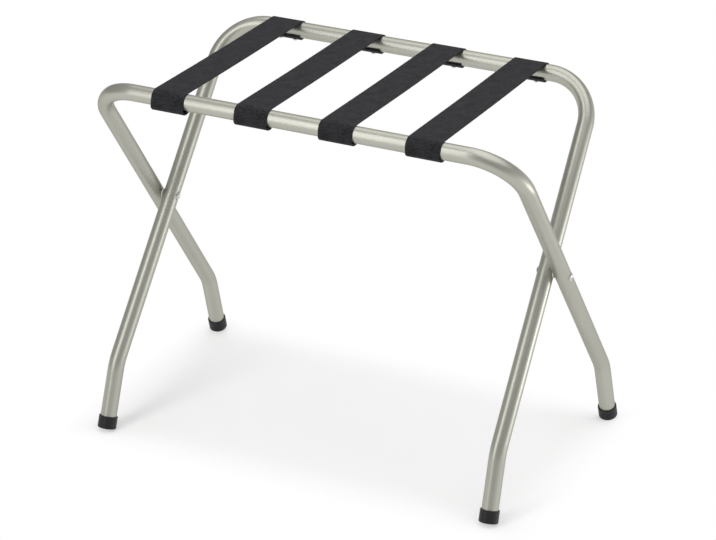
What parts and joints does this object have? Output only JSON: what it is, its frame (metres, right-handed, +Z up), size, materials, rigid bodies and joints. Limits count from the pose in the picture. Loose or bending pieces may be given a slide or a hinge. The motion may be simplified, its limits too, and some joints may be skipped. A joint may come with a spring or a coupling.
{
  "type": "luggage bench",
  "caption": "Folding luggage bench: two bent tube frames crossed at rivets, with webbing straps stretched between the top rails and rubber foot caps.",
  "frame": {"origin": "on the floor, in the middle of the four feet", "axes": "+X along the rails to the bench's right, +Y from the front rail to the back rail, +Z up"},
  "size_m": [0.6446, 0.3778, 0.5061],
  "materials": {
    "frame_finish": "satin",
    "rivet_steel": "polished",
    "spacer_plastic": "matte",
    "foot_rubber": "matte",
    "webbing": "woven",
    "screw_steel": "bright"
  },
  "bodies": {
    "outer_leg_frame": {"outer_frame": "frame_finish", "pivot_rivet_left": "rivet_steel", "pivot_spacer_left": "spacer_plastic", "foot_back_left": "foot_rubber", "pivot_rivet_right": "rivet_steel", "pivot_spacer_right": "spacer_plastic", "foot_back_right": "foot_rubber", "strap_1": "webbing", "strap_1_front_screws": "screw_steel", "strap_2": "webbing", "strap_2_front_screws": "screw_steel", "strap_3": "webbing", "strap_3_front_screws": "screw_steel", "strap_4": "webbing", "strap_4_front_screws": "screw_steel"},
    "inner_leg_frame": {"inner_frame": "frame_finish", "foot_front_left": "foot_rubber", "foot_front_right": "foot_rubber", "strap_1_back_screws": "screw_steel", "strap_2_back_screws": "screw_steel", "strap_3_back_screws": "screw_steel", "strap_4_back_screws": "screw_steel"}
  },
  "joints": [
    {"name": "fold", "type": "hinge", "parent": "outer_leg_frame", "child": "inner_leg_frame", "pos_m": [0, 0, 0.2843], "axis": [1, 0, 0], "range_deg": [0, 60], "deforming": ["strap_1", "strap_2", "strap_3", "strap_4"]}
  ]
}
